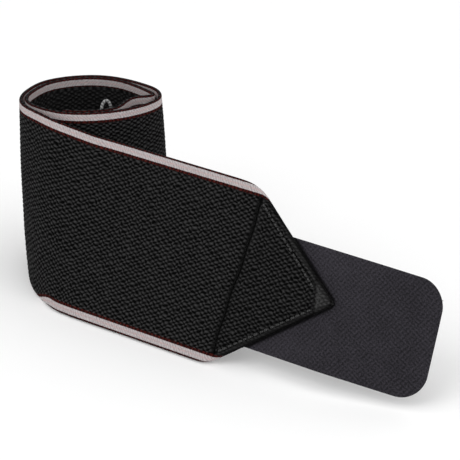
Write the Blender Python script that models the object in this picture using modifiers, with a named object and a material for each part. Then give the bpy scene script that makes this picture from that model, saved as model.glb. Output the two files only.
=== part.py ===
"""Wrist support wrap: a woven elastic band coiled on its edge, with an arrow-pointed end, a hook-tape tab
and a thumb loop.

Frame: metres, +Z up. The coil stands on its lower edge on z = 0 and the tail runs off to +X, -Y.
Plan positions are written in millimetres from the foot of the arrow's base line, then moved by ORIGIN.
"""

import math

import bpy
from mathutils import Matrix, Vector

MM = 0.001
COLLECTION = "wrist_support_wrap"

# The whole object is moved by this much, so that its box stands centred on the origin (mm).
ORIGIN = Vector((-6.77, -44.95, 0.4))

# Band
BAND_WIDTH = 76.2          # 3 inch elastic web
BAND_THICK = 1.6
STRIPE_WIDTH = 4.3         # silver selvedge with its two red yarns
GAP = 0.3                  # clearance between neighbouring pieces
STEP_LENGTH = 4.0          # length of one facet along the coil

# Tail: a flat stretch of band that leans back and runs off at TAIL_ANGLE from +X towards -Y
TAIL_ANGLE = math.radians(38.0)
TAIL_LEAN = math.radians(28.2)
TAIL_LENGTH = 74.0         # from the arrow's base line back to the bend where the band joins the coil

# Arrow end
ARROW_LENGTH = 49.2
ARROW_TIP = 39.3           # height of the tip above the band's lower edge
FLAP_START = 2.4           # the folded corners start this far past the base line
FLAP_TRIM = 14.0           # and their cut ends meet on the tip's level this far past it

# Hook tape: 2 inch, sewn under the arrow, with a free tab past the tip
TAPE_WIDTH = 48.3
TAPE_LOW = 11.4            # height of the tape's lower edge above the band's lower edge
TAPE_START = 6.0           # the tape starts this far past the arrow's base line
TAPE_THICK = 1.0
HOOK_HEIGHT = 0.9
HOOK_INSET = 1.5           # the hooks stop this far from the bend
HOOK_MARGIN = 1.0          # and this far from the tape's edges
HOOK_START = 3.0           # and leave this much of the tape's sewn end free for its stitching
TAB_BEND_AT = 50.0         # the free tab starts here
TAB_LENGTH = 43.5
TAB_DROOP = math.radians(10.5)
TAB_LEAN = math.radians(20.0)   # the tab's end stands more upright than the arrow
TAB_CORNER = 11.5
TAB_STATIONS = (0.35, 0.6)      # shares of its length where the tab's flat part is divided
TAB_CORNER_TURNS = (20, 40, 55, 70, 81, 90)   # degrees round the corners, one per facet
TAB_ROWS = 7
BEND_GAP = 0.6             # clearance in each of the two bends

# Seams: flat threads lying on the face. Ends are (along, across) from the foot of the arrow's base line.
THREAD_WIDTH = 0.7
THREAD_THICK = 0.4
ARROW_SEAMS = {
    "base_seam": [(3.0, 5.0), (3.0, 71.2)],
    "lower_diagonal_seam": [(6.0, 6.8), (41.5, 36.0)],
    "upper_diagonal_seam": [(6.0, 68.8), (41.0, 42.0)],
}
TAPE_SEAM_AT = 1.6         # distance of the tape's stitching from its sewn end
TAPE_SEAM_ENDS = 3.0       # and of the stitching's ends from the tape's edges

# Coil: the top of the band seen from above, from the inner end out to the bend. Lower edge is the same
# except on the flared outer turn.
INNER_TURNS = [
    (-59.8, 88.5), (-52.4, 87.5), (-44.6, 88.1), (-39.0, 90.0), (-35.6, 93.6), (-33.8, 97.8),
    (-31.4, 102.0), (-28.0, 104.1), (-23.8, 104.7), (-21.4, 106.6), (-23.2, 109.6), (-29.2, 116.8),
    (-35.6, 122.6), (-43.0, 125.9), (-51.0, 126.7), (-59.8, 124.9), (-68.4, 119.7), (-74.2, 110.5),
    (-76.1, 103.4), (-74.6, 97.3), (-70.6, 92.5), (-65.8, 88.8), (-60.0, 85.9), (-52.5, 84.8),
    (-44.1, 85.6), (-37.0, 87.6), (-30.6, 90.8), (-24.3, 95.7), (-19.9, 101.4), (-19.0, 107.8),
    (-21.4, 114.0), (-27.2, 119.7), (-34.5, 124.8), (-42.5, 128.2), (-51.0, 129.0),
]
FLARED_TURN = [
    ((-61.0, 127.8), (-61.0, 127.0)),
    ((-70.8, 121.6), (-70.3, 121.5)),
    ((-77.0, 111.6), (-76.5, 111.4)),
    ((-79.0, 99.6), (-78.4, 102.4)),
    ((-78.7, 87.0), (-76.2, 95.0)),
    ((-77.6, 77.4), (-70.0, 88.4)),
    ((-75.0, 67.6), (-63.4, 83.4)),
    ((-70.8, 58.8), (-55.6, 80.8)),
    ((-65.2, 51.0), (-46.4, 78.4)),
]
COIL_CENTRE = (-50.0, 104.0)
LOWER_SPREAD = 1.03        # the coil's foot is a little wider than its top
SECOND_TURN = 24           # knots of INNER_TURNS from this one on also flare out to the right at the foot
RIGHT_FLARE = 3.8
RIGHT_FLARE_FROM, RIGHT_FLARE_TO = -45.0, -22.0
HEEL_START = -54.0         # left of here the lower edge is tucked in under the coil
HEEL_SPAN = 20.0
HEEL_TUCK = 3.0

# Inner end and thumb loop
HEM_LENGTH = 9.0
HEM_SEAM_AT = 6.0          # distance of the stitching from the band's inner end
HEM_SEAM_ENDS = 6.0        # and of its ends from the band's edges
HEM_STEPS = 4
BARTACK_SPAN = (17.0, 22.0)  # along the band, from its inner end
BARTACK_LOW, BARTACK_HIGH = 39.0, 46.4
BARTACK_THICK = 3.0
LOOP_CORD = 1.4
LOOP_ROOT = Vector((-41.5, 91.5, 46.9))
LOOP_CROWN = Vector((-42.6, 103.4, 74.4))
LOOP_SIDEWAYS = Vector((1.0, 0.25, 0.0)).normalized()
LOOP_WIDTH = 2.2
LOOP_SPACING = 2.2         # between the two ends of the cord
LOOP_POINTS = 24

COLOURS = {
    "web": ((0.012, 0.012, 0.013, 1.0), 0.85),
    "stripe": ((0.42, 0.39, 0.39, 1.0), 0.75),
    "tape": ((0.026, 0.025, 0.029, 1.0), 0.7),
    "hook": ((0.02, 0.02, 0.022, 1.0), 0.45),
    "thread": ((0.02, 0.02, 0.021, 1.0), 0.6),
    "cord": ((0.10, 0.10, 0.11, 1.0), 0.5),
}


def smooth(low, high, value):
    x = min(1.0, max(0.0, (value - low) / (high - low)))
    return x * x * (3.0 - 2.0 * x)


# ---------------------------------------------------------------- the band's surface

ALONG = Vector((math.cos(TAIL_ANGLE), -math.sin(TAIL_ANGLE), 0.0))
BACK = Vector((math.sin(TAIL_ANGLE), math.cos(TAIL_ANGLE), 0.0))
ACROSS = BACK * math.sin(TAIL_LEAN) + Vector((0.0, 0.0, 1.0)) * math.cos(TAIL_LEAN)
FACE = ALONG.cross(ACROSS)   # out of the band's outer face


def tail_point(along, across, out=0.0):
    """A point of the flat tail, in mm from the foot of the arrow's base line."""
    return ALONG * along + ACROSS * across + FACE * out


def catmull(points, samples):
    """A smooth curve through the points, with a few samples on each stretch."""
    ends = [points[0] * 2 - points[1]] + points + [points[-1] * 2 - points[-2]]
    curve = []
    for a, b, c, d in zip(ends, ends[1:], ends[2:], ends[3:]):
        for i in range(samples):
            t = i / samples
            curve.append(0.5 * (2 * b + (c - a) * t + (2 * a - 5 * b + 4 * c - d) * t * t
                                + (3 * b - a - 3 * c + d) * t ** 3))
    curve.append(points[-1])
    return curve


def coil_edges():
    """The lower and the upper edge of the coil as two matching curves, from the inner end to the bend."""
    centre = Vector(COIL_CENTRE)
    lower = [centre + (Vector(spot) - centre) * LOWER_SPREAD for spot in INNER_TURNS]
    for spot in lower[SECOND_TURN:]:
        spot.x += RIGHT_FLARE * smooth(RIGHT_FLARE_FROM, RIGHT_FLARE_TO, spot.x)
    lower += [Vector(low) for low, _ in FLARED_TURN]
    upper = [Vector((x, y)) for x, y in INNER_TURNS] + [Vector(high) for _, high in FLARED_TURN]
    join = -TAIL_LENGTH - BEND_GAP
    foot, head = tail_point(join, 0.0), tail_point(join, BAND_WIDTH)
    lower.append(foot.to_2d())
    upper.append(head.to_2d())
    return catmull(lower, 8), catmull(upper, 8)


def heel(point, height):
    """Tucks the lower edge in at the left end of the coil."""
    low = max(0.0, 1.0 - height / BAND_WIDTH)
    tuck = HEEL_TUCK * low ** 3 * smooth(0.0, HEEL_SPAN, HEEL_START - point.x)
    return Vector((point.x + tuck, point.y, point.z))


def band_point(lower, upper, across):
    """A point on the straight line between the two edges, which are a band's width apart."""
    reach = (upper - lower).length
    rise = math.sqrt(BAND_WIDTH ** 2 - reach ** 2)
    share = across / BAND_WIDTH
    plan = lower.lerp(upper, share)
    return heel(Vector((plan.x, plan.y, rise * share)), across)


def thin(edges, step):
    """Keeps the samples of the edges that are about one facet apart, closer in the tight turns."""
    lower, upper = edges
    kept = [0]
    for i in range(1, len(upper) - 1):
        moved = max((upper[i] - upper[kept[-1]]).length, (lower[i] - lower[kept[-1]]).length)
        before, after = upper[i] - upper[kept[-1]], upper[i + 1] - upper[i]
        turned = abs(before.angle_signed(after, 0.0)) if before.length and after.length else 0.0
        if moved >= step or (turned > math.radians(16.0) and moved >= 0.8):
            kept.append(i)
    kept.append(len(upper) - 1)
    return [lower[i] for i in kept], [upper[i] for i in kept]


# ---------------------------------------------------------------- scene helpers

def clear_scene():
    for obj in list(bpy.data.objects):
        bpy.data.objects.remove(obj, do_unlink=True)


def material(kind):
    name = "wrap_" + kind
    found = bpy.data.materials.get(name)
    if found:
        return found
    colour, roughness = COLOURS[kind]
    mat = bpy.data.materials.new(name)
    mat.use_nodes = True
    shader = mat.node_tree.nodes["Principled BSDF"]
    shader.inputs["Base Color"].default_value = colour
    shader.inputs["Roughness"].default_value = roughness
    shader.inputs["Metallic"].default_value = 0.0
    return mat


def add_object(name, data, kind, parent=None):
    obj = bpy.data.objects.new(name, data)
    bpy.data.collections[COLLECTION].objects.link(obj)
    data.materials.append(material(kind))
    if parent:
        obj.parent = parent
    return obj


def pivot(name, where, axis):
    """An empty on a joint's axis, its own Z along the axis."""
    empty = bpy.data.objects.new(name, None)
    bpy.data.collections[COLLECTION].objects.link(empty)
    turn = Vector((0.0, 0.0, 1.0)).rotation_difference(axis).to_matrix().to_4x4()
    empty.matrix_world = Matrix.Translation((where + ORIGIN) * MM) @ turn
    return empty


def place(obj, parent):
    """Keeps the object where it is while it hangs on its parent."""
    bpy.context.view_layer.update()
    obj.parent = parent
    obj.matrix_parent_inverse = parent.matrix_world.inverted()


def sheet(name, rows, kind, thick=BAND_THICK, offset=0.0):
    """An open surface through rows of points (mm), given its thickness by Solidify."""
    mesh = bpy.data.meshes.new(name)
    columns = len(rows[0])
    points = [(p + ORIGIN) * MM for row in rows for p in row]
    faces = []
    for r in range(len(rows) - 1):
        for c in range(columns - 1):
            a = r * columns + c
            faces.append((a, a + 1, a + 1 + columns, a + columns))
    mesh.from_pydata(points, [], faces)
    mesh.shade_smooth()
    mesh.set_sharp_from_angle(angle=math.radians(40.0))
    obj = add_object(name, mesh, kind)
    shell = obj.modifiers.new("thickness", "SOLIDIFY")
    shell.thickness = thick * MM
    shell.offset = offset
    shell.use_even_offset = True
    shell.thickness_clamp = 0.0
    return obj


def flat_panel(name, outline, thick, out, kind):
    """A flat outline in the tail's plane, `out` mm in front of the band's middle surface."""
    curve = bpy.data.curves.new(name, "CURVE")
    curve.dimensions = "2D"
    curve.fill_mode = "BOTH"
    curve.extrude = thick * MM / 2
    spline = curve.splines.new("POLY")
    spline.points.add(len(outline) - 1)
    for point, (along, across) in zip(spline.points, outline):
        point.co = (along * MM, across * MM, 0.0, 1.0)
    spline.use_cyclic_u = True
    obj = add_object(name, curve, kind)
    obj.matrix_world = tail_frame() @ Matrix.Translation((0.0, 0.0, out * MM))
    return obj


def tail_frame():
    """A frame whose X runs along the tail, Y across it and Z out of its outer face."""
    turn = Matrix((ALONG, ACROSS, FACE)).transposed().to_4x4()
    return Matrix.Translation(ORIGIN * MM) @ turn


def rectangle(first, last, low, high):
    """The outline of a flat panel between two distances along the band and two across it."""
    return [(first, low), (last, low), (last, high), (first, high)]


def ribbon(points, width):
    """The outline of a flat thread of this width that follows the points."""
    left, right = [], []
    for i, point in enumerate(points):
        before = points[max(0, i - 1)]
        after = points[min(len(points) - 1, i + 1)]
        ahead = (Vector(after) - Vector(before)).normalized()
        side = Vector((-ahead.y, ahead.x)) * width / 2
        left.append(tuple(Vector(point) + side))
        right.append(tuple(Vector(point) - side))
    return right + left[::-1]


# ---------------------------------------------------------------- the pieces

def coil_band():
    """The coiled part of the web with its two selvedges, and the hem at its inner end."""
    lower, upper = thin(coil_edges(), STEP_LENGTH)
    bands = {
        "coil_web": ([STRIPE_WIDTH + GAP, 14.0, 27.0, 48.0, BAND_WIDTH - STRIPE_WIDTH - GAP], "web"),
        "coil_lower_stripe": ([0.0, STRIPE_WIDTH], "stripe"),
        "coil_upper_stripe": ([BAND_WIDTH - STRIPE_WIDTH, BAND_WIDTH], "stripe"),
    }
    for name, (heights, kind) in bands.items():
        rows = [[band_point(p, q, h) for p, q in zip(lower, upper)] for h in heights]
        sheet(name, rows, kind)


def tail_band():
    """The straight part of the web between the bend and the arrow's base line."""
    panels = {
        "tail_web": (STRIPE_WIDTH + GAP, BAND_WIDTH - STRIPE_WIDTH - GAP, "web"),
        "tail_lower_stripe": (0.0, STRIPE_WIDTH, "stripe"),
        "tail_upper_stripe": (BAND_WIDTH - STRIPE_WIDTH, BAND_WIDTH, "stripe"),
    }
    made = []
    for name, (low, high, kind) in panels.items():
        made.append(flat_panel(name, rectangle(-TAIL_LENGTH, 0.0, low, high), BAND_THICK, 0.0, kind))
    return made


def arrow_end():
    """The arrow-shaped face and the two corners folded under it."""
    tip = (ARROW_LENGTH, ARROW_TIP)
    face = [(GAP, 0.0), tip, (GAP, BAND_WIDTH)]
    under = -(BAND_THICK + GAP)
    start = FLAP_START / ARROW_LENGTH
    low_tip, high_tip = ARROW_TIP - GAP / 2, ARROW_TIP + GAP / 2
    high_start = BAND_WIDTH - (BAND_WIDTH - ARROW_TIP) * start
    lower = [(FLAP_START, ARROW_TIP * start), (ARROW_LENGTH, low_tip), (FLAP_TRIM, low_tip)]
    upper = [(FLAP_START, high_start), (FLAP_TRIM, high_tip), (ARROW_LENGTH, high_tip)]
    return [
        flat_panel("arrow_face", face, BAND_THICK, 0.0, "web"),
        flat_panel("lower_folded_corner", lower, BAND_THICK, under, "web"),
        flat_panel("upper_folded_corner", upper, BAND_THICK, under, "web"),
    ]


def tape_levels():
    """How far behind the band's middle surface the tape and its hooks lie."""
    backing = -(BAND_THICK * 1.5 + GAP * 2 + TAPE_THICK / 2)
    hooks = backing - TAPE_THICK / 2 - GAP - HOOK_HEIGHT / 2
    return backing, hooks


def sewn_tape():
    """The stretch of hook tape that is sewn under the arrow."""
    backing, hooks = tape_levels()
    low, high = TAPE_LOW, TAPE_LOW + TAPE_WIDTH
    seam_at = TAPE_START + TAPE_SEAM_AT
    behind = backing - TAPE_THICK / 2 - GAP - THREAD_THICK / 2
    seam = ribbon([(seam_at, low + TAPE_SEAM_ENDS), (seam_at, high - TAPE_SEAM_ENDS)], THREAD_WIDTH)
    end = TAB_BEND_AT - BEND_GAP / 2
    tape = rectangle(TAPE_START, end, low, high)
    first, last = TAPE_START + HOOK_START, TAB_BEND_AT - HOOK_INSET
    field = rectangle(first, last, low + HOOK_MARGIN, high - HOOK_MARGIN)
    return [
        flat_panel("sewn_tape_backing", tape, TAPE_THICK, backing, "tape"),
        flat_panel("sewn_tape_hooks", field, HOOK_HEIGHT, hooks, "hook"),
        flat_panel("tape_end_seam", seam, THREAD_THICK, behind, "thread"),
    ]


def bend_line(behind=0.0):
    """The foot of the line where the free tab leaves the arrow."""
    backing, _ = tape_levels()
    return tail_point(TAB_BEND_AT, 0.0, backing - behind)


def tab_surface(behind, inset, start):
    """Rows of points over the free tab, which twists a little and has two rounded corners."""
    backing, _ = tape_levels()
    along = ALONG * math.cos(TAB_DROOP) - FACE * math.sin(TAB_DROOP)
    end_across = BACK * math.sin(TAB_LEAN) + Vector((0.0, 0.0, 1.0)) * math.cos(TAB_LEAN)
    middle = TAPE_LOW + TAPE_WIDTH / 2
    half, radius = TAPE_WIDTH / 2 - inset, TAB_CORNER - inset
    end = TAB_LENGTH - inset
    stations = [start] + [share * end for share in TAB_STATIONS] + [end - radius]
    stations += [end - radius * (1.0 - math.sin(math.radians(turn))) for turn in TAB_CORNER_TURNS]
    rows = [[] for _ in range(TAB_ROWS)]
    for u in stations:
        rounding = max(0.0, (u - (end - radius)) / radius)
        reach = half - radius * (1.0 - math.sqrt(max(0.0, 1.0 - rounding ** 2)))
        across = ACROSS.lerp(end_across, u / TAB_LENGTH).normalized()
        centre = tail_point(TAB_BEND_AT, middle, backing) + along * u
        out = along.cross(across).normalized()
        for i, row in enumerate(rows):
            share = -1.0 + 2.0 * i / (TAB_ROWS - 1)
            row.append(centre + across * (reach * share) - out * behind)
    return rows


def free_tab():
    """The hook tape's free end: the backing, and the field of hooks on its inner side."""
    behind = TAPE_THICK / 2 + GAP + HOOK_HEIGHT / 2
    return [
        sheet("tab_backing", tab_surface(0.0, 0.0, BEND_GAP / 2), "tape", TAPE_THICK),
        sheet("tab_hooks", tab_surface(behind, HOOK_MARGIN, HOOK_INSET), "hook", HOOK_HEIGHT),
    ]


def arrow_seams():
    """The rows of stitching on the arrow's face."""
    out = BAND_THICK / 2 + GAP + THREAD_THICK / 2
    return [
        flat_panel(name, ribbon(ends, THREAD_WIDTH), THREAD_THICK, out, "thread")
        for name, ends in ARROW_SEAMS.items()
    ]


def coil_strip(name, distances, heights, out, thick, kind):
    """A patch that follows the coil at these distances from its inner end, `out` mm to the right of it."""
    lower, upper = coil_edges()
    lengths = [0.0]
    for before, after in zip(upper, upper[1:]):
        lengths.append(lengths[-1] + (after - before).length)
    columns = []
    for distance in distances:
        i = max(k for k, reached in enumerate(lengths[:-1]) if reached <= distance)
        share = (distance - lengths[i]) / (lengths[i + 1] - lengths[i])
        ahead = (upper[i + 1] - upper[i]).normalized()
        side = Vector((ahead.y, -ahead.x)) * out
        columns.append((lower[i].lerp(lower[i + 1], share) + side, upper[i].lerp(upper[i + 1], share) + side))
    rows = [[band_point(low, high, height) for low, high in columns] for height in heights]
    return sheet(name, rows, kind, thick)


def inner_end():
    """The hem folded back on the inner face at the band's end, its stitching, and the block that holds the loop."""
    inside = -(BAND_THICK + GAP)
    stretch = [HEM_LENGTH * i / HEM_STEPS for i in range(HEM_STEPS + 1)]
    coil_strip("inner_hem", stretch, (0.0, BAND_WIDTH), inside, BAND_THICK, "web")
    stitching = inside - (BAND_THICK / 2 + GAP + THREAD_THICK / 2)
    seam = (HEM_SEAM_AT, HEM_SEAM_AT + THREAD_WIDTH)
    heights = (HEM_SEAM_ENDS, BAND_WIDTH - HEM_SEAM_ENDS)
    coil_strip("hem_seam", seam, heights, stitching, THREAD_THICK, "thread")
    block = -(BAND_THICK / 2 + GAP + BARTACK_THICK / 2)
    coil_strip("loop_bartack", BARTACK_SPAN, (BARTACK_LOW, BARTACK_HIGH), block, BARTACK_THICK, "thread")


def thumb_loop():
    """The elastic cord loop for the thumb, held by a block of stitching near the band's inner end."""
    root, crown = LOOP_ROOT, LOOP_CROWN
    ahead = crown - root
    points = []
    for i in range(LOOP_POINTS + 1):
        t = i / LOOP_POINTS
        spread = LOOP_WIDTH * math.sin(2 * math.pi * t) * math.sin(math.pi * t)
        spread += LOOP_SPACING / 2 * math.cos(math.pi * t)
        points.append(root + ahead * math.sin(math.pi * t) + LOOP_SIDEWAYS * spread)
    cord = bpy.data.curves.new("thumb_loop_cord", "CURVE")
    cord.dimensions = "3D"
    cord.bevel_depth = LOOP_CORD / 2 * MM
    cord.bevel_resolution = 2
    cord.use_fill_caps = True
    spline = cord.splines.new("POLY")
    spline.points.add(len(points) - 1)
    for knot, point in zip(spline.points, points):
        knot.co = (*((point + ORIGIN) * MM), 1.0)
    return add_object("thumb_loop_cord", cord, "cord")


def main():
    clear_scene()
    collection = bpy.data.collections.new(COLLECTION)
    bpy.context.scene.collection.children.link(collection)
    coil_band()
    inner_end()
    tail_pivot = pivot("tail_pivot", tail_point(-TAIL_LENGTH, 0.0, BAND_THICK / 2), ACROSS)
    for obj in tail_band() + arrow_end() + sewn_tape() + arrow_seams():
        place(obj, tail_pivot)
    tab_pivot = pivot("tab_pivot", bend_line(), ACROSS)
    place(tab_pivot, tail_pivot)
    for obj in free_tab():
        place(obj, tab_pivot)
    loop_pivot = pivot("loop_pivot", LOOP_ROOT, Vector((0.0, 0.0, 1.0)))
    place(thumb_loop(), loop_pivot)


main()
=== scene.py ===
import math

import bpy
import numpy as np
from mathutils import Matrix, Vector


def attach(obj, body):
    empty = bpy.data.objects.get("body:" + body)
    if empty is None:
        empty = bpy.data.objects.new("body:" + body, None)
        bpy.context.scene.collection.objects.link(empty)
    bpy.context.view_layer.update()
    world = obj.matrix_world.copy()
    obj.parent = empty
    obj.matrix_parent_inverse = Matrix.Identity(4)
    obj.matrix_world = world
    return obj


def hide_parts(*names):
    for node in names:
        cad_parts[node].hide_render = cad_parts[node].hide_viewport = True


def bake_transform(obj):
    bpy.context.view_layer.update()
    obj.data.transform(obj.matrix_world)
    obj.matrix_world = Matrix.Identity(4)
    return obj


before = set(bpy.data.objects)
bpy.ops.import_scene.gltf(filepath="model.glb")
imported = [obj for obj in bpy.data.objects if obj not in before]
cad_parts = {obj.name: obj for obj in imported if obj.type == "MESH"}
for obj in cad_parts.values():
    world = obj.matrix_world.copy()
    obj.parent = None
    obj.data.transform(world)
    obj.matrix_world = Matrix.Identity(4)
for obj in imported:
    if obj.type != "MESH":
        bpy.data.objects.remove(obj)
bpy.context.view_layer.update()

# Looks of the wrist support wrap: a coiled elastic web with an arrow-shaped end, its hook tape and its
# thumb loop. Lengths are in mm from the foot of the arrow's base line. ORIGIN moves them to the row frame.
# `a` is the distance along the web from the arrow's base line (less than 0 towards the coil), `v` the
# distance across it from its lower edge, and `out` the height above its middle surface on the outer side.
MM = 0.001
ORIGIN = np.array((-6.77, -44.95, 0.4))
UV_SCALE = 0.01          # the UV maps hold mm times this

# Web
WIDTH = 76.2
HALF_THICK = 0.8
CELL_ALONG, CELL_ACROSS = 3.37, 1.94     # one cell of the weave: a hole at its corners and its centre
HOLE_SIZE, HOLE_SLANT = 0.34, 0.10       # a hole's half size in shares of their spacing; rows slant in turn
HOLE_DEPTH = 0.5
CURL, CURL_REACH = 4.6, 30.0             # at the coil's left end the pattern is drawn over the lower edge
CURL_START, CURL_END = (-87.0, -104.0), (-152.0, -128.0)     # from none to all of it, at either end
RIM_END, OUTER_RED_END = 0.12, 0.85      # the selvedge's colours, by distance from its edge
SILVER_END, SELVEDGE_END = 3.6, 4.75
RIB_PITCH, RIB_SLANT = 1.3, 0.8          # of the selvedge's fine ribs
ROW_STEP, COLUMN_STEP = CELL_ALONG / 6, 0.5

# Tail and arrow
TAIL_ANGLE, TAIL_LEAN = math.radians(38.0), math.radians(28.2)
BEND_AT = -74.6
ARROW_LENGTH, ARROW_TIP = 50.3, 39.0     # where the two diagonals would meet
TIP_RADIUS, LOWER_SOFTNESS, UPPER_SOFTNESS = 2.2, 1.5, 2.5
LIP_RADIUS = 1.75        # of the folded diagonals: half of two layers
LIP_CENTRE = -0.95
LOWER_INSET, UPPER_INSET = 2.1, 2.7      # of the stitching along the diagonals
SEAM_FOOT, SEAM_END = 4.6, 41.6          # where it starts, and where it ends before the tip row's lean
SEAM_RHYTHM = 3.0        # of the puckers along it
TIP_ROW_AT, TIP_ROW_LEAN = 41.3, 0.25    # of the short row of stitching across the tip
TAIL_BEND = (-80.0, -68.0)               # two places along the tail near its bend; web() works them out but nothing uses them

# Hook tape
TAPE_START, TAPE_BEND = 6.0, 50.0
TAPE_LOW, TAPE_WIDTH, TAPE_HALF = 11.4, 48.3, 0.5
TAPE_LEVEL = -3.5
TAB_LENGTH, TAB_CORNER = 43.5, 11.5
TAPE_LENGTH = TAPE_BEND - TAPE_START + TAB_LENGTH
TAB_DROOP, TAB_LEAN = math.radians(10.5), math.radians(20.0)
TAB_BEND = (48.6, 54.0)                  # two places along the tape near its bend; bend_with_tab() works them out but nothing uses them
TWILL = ((0.485, -0.321), (0.338, 0.637))     # the twill lines, in turns for each mm along and across
HOOK_ALONG, HOOK_ACROSS, HOOK_JITTER = 1.15, 1.4, 0.12     # the hooks' spacing and scatter
SEWN_HOOKS, BEND_HOOKS, TAB_HOOKS = (4.0, 42.0), (43.1, 48.3), (48.85, TAPE_LENGTH - 1.2)

# Stitches: the pitch, length and thickness of each kind
FINE_STITCH, TAPE_STITCH = (2.7, 2.0, 0.42), (2.6, 1.9, 0.4)
LOWER_STITCH, UPPER_STITCH = (2.6, 1.9, 1.0), (2.6, 1.9, 0.95)

# Hem and thumb loop
HEM_LENGTH, HEM_GAP, HEM_SHORT = 9.0, 0.3, 3.0
BARTACK_AT = 17.2        # from the web's inner end
BARTACK_LOW, BARTACK_HIGH = 39.4, 46.2
LOOP_ROOT, LOOP_CROWN = np.array((-41.5, 91.5, 46.9)), np.array((-42.0, 103.4, 74.2))
LOOP_SIDEWAYS = np.array((1.0, 0.25, 0.0))
LOOP_WIDTH, LOOP_SPACING, LOOP_RADIUS, LOOP_BRAID = 2.2, 2.2, 0.7, 1.3

# Coil in plan, from the inner end outwards: the wound turns' upper edge, then both edges of the flare
INNER_TURNS = [
    (-59.8, 88.5), (-52.4, 87.5), (-44.6, 88.1), (-39.0, 90.0), (-35.6, 93.6), (-33.8, 97.8),
    (-31.4, 102.0), (-28.0, 104.1), (-23.8, 104.7), (-21.4, 106.6), (-23.2, 109.6), (-29.2, 116.8),
    (-35.6, 122.6), (-43.0, 125.9), (-51.0, 126.7), (-59.8, 124.9), (-68.4, 119.7), (-74.2, 110.5),
    (-76.1, 103.4), (-74.6, 97.3), (-70.6, 92.5), (-65.8, 88.8), (-60.0, 85.9), (-52.5, 84.8),
    (-44.1, 85.6), (-37.0, 87.6), (-30.6, 90.8), (-24.3, 95.7), (-19.9, 101.4), (-19.0, 107.8),
    (-21.4, 114.0), (-27.2, 119.7), (-34.5, 124.8), (-42.5, 128.2), (-51.0, 129.0),
]
FLARED_LOWER = [
    (-61.0, 127.8), (-70.8, 121.6), (-77.0, 111.6), (-79.0, 99.6), (-78.7, 87.0), (-77.6, 77.4),
    (-75.0, 67.6), (-70.8, 58.8), (-65.2, 51.0),
]
FLARED_UPPER = [
    (-61.0, 127.0), (-70.3, 121.5), (-76.5, 111.4), (-78.4, 102.4), (-76.2, 95.0), (-70.0, 88.4),
    (-63.4, 83.4), (-55.6, 80.8), (-46.4, 78.4),
]
COIL_CENTRE = np.array((-50.0, 104.0))
LOWER_SPREAD = 1.03
SECOND_TURN = 24                          # knots from this one on also flare to the right at the foot
RIGHT_FLARE, RIGHT_FLARE_FROM, RIGHT_FLARE_TO = 3.8, -45.0, -22.0
HEEL_START, HEEL_SPAN, HEEL_TUCK = -54.0, 20.0, 3.0
CUTS = (-104.0, -205.0, -308.0)           # where one mesh of the web ends and the next begins


# ---------------------------------------------------------------- camera, floor and light

CAMERA_AT = Vector((-0.00677, -1.02505, 0.4998))
CAMERA_AIM = Vector((0.00363, -0.02025, 0.0488))
CAMERA_LENS = 211.8


def add_camera():
    data = bpy.data.cameras.new("camera")
    data.sensor_width = 36.0
    data.lens = CAMERA_LENS
    data.clip_start, data.clip_end = 0.05, 20.0
    camera = bpy.data.objects.new("camera", data)
    camera.location = CAMERA_AT
    camera.rotation_mode = "QUATERNION"
    camera.rotation_quaternion = (CAMERA_AIM - CAMERA_AT).to_track_quat("-Z", "Y")
    bpy.context.scene.collection.objects.link(camera)
    bpy.context.scene.camera = camera


def add_light(name, place, size, power):
    """A square soft box that faces the object."""
    data = bpy.data.lights.new(name, "AREA")
    data.shape = "SQUARE"
    data.size = size
    data.energy = power
    lamp = bpy.data.objects.new(name, data)
    lamp.location = place
    lamp.rotation_mode = "QUATERNION"
    lamp.rotation_quaternion = (CAMERA_AIM - Vector(place)).to_track_quat("-Z", "Y")
    bpy.context.scene.collection.objects.link(lamp)


def add_world(strength):
    world = bpy.data.worlds.new("studio")
    world.use_nodes = True
    background = world.node_tree.nodes["Background"]
    background.inputs["Color"].default_value = (1.0, 1.0, 1.0, 1.0)
    background.inputs["Strength"].default_value = strength
    bpy.context.scene.world = world


# ---------------------------------------------------------------- small numeric helpers

def unit(vectors):
    return vectors / np.linalg.norm(vectors, axis=-1, keepdims=True)


def smooth(low, high, value):
    x = np.clip((value - low) / (high - low), 0.0, 1.0)
    return x * x * (3.0 - 2.0 * x)


def bell(offset, width):
    return np.exp(-(offset / width) ** 2)


def wavy(distance, pitch, depth):
    """Swings between 1 and 1 - 2 * depth, at its highest at each whole pitch."""
    return 1.0 - depth + depth * np.cos(2 * np.pi * distance / pitch)


def distances(path):
    """How far along the path each of its points is."""
    return np.concatenate(([0.0], np.cumsum(np.linalg.norm(np.diff(path, axis=0), axis=1))))


SCATTER_I, SCATTER_J, SCATTER_SIZE = 1.9898, 7.8233, 437.5


def scatter(i, j):
    """A repeatable random number from 0 to 1 for each pair of whole numbers."""
    value = np.sin(i * SCATTER_I + j * SCATTER_J) * SCATTER_SIZE
    return value - np.floor(value)


def ripple(x, y, size, seed):
    """A smooth random field of about -1 to 1 with bumps of this size."""
    rng = np.random.default_rng(seed)
    total = 0.0
    for _ in range(6):
        turn, phase = rng.uniform(0.0, 2.0 * math.pi, 2)
        length = 2.0 * size * rng.uniform(0.8, 1.8)
        total = total + np.sin(2.0 * math.pi / length * (x * math.cos(turn) + y * math.sin(turn)) + phase)
    return total / 2.5


# ---------------------------------------------------------------- the web's middle surface

ALONG = np.array((math.cos(TAIL_ANGLE), -math.sin(TAIL_ANGLE), 0.0))
BACK = np.array((math.sin(TAIL_ANGLE), math.cos(TAIL_ANGLE), 0.0))
UP = np.array((0.0, 0.0, 1.0))
ACROSS = BACK * math.sin(TAIL_LEAN) + UP * math.cos(TAIL_LEAN)
FACE = np.cross(ALONG, ACROSS)


def tail_point(along, across, out=0.0):
    """Points of the flat tail; each argument is a number or an array."""
    along, across, out = (np.asarray(x, float)[..., None] for x in (along, across, out))
    return along * ALONG + across * ACROSS + out * FACE


def to_world(points):
    return (points + ORIGIN) * MM


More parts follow.
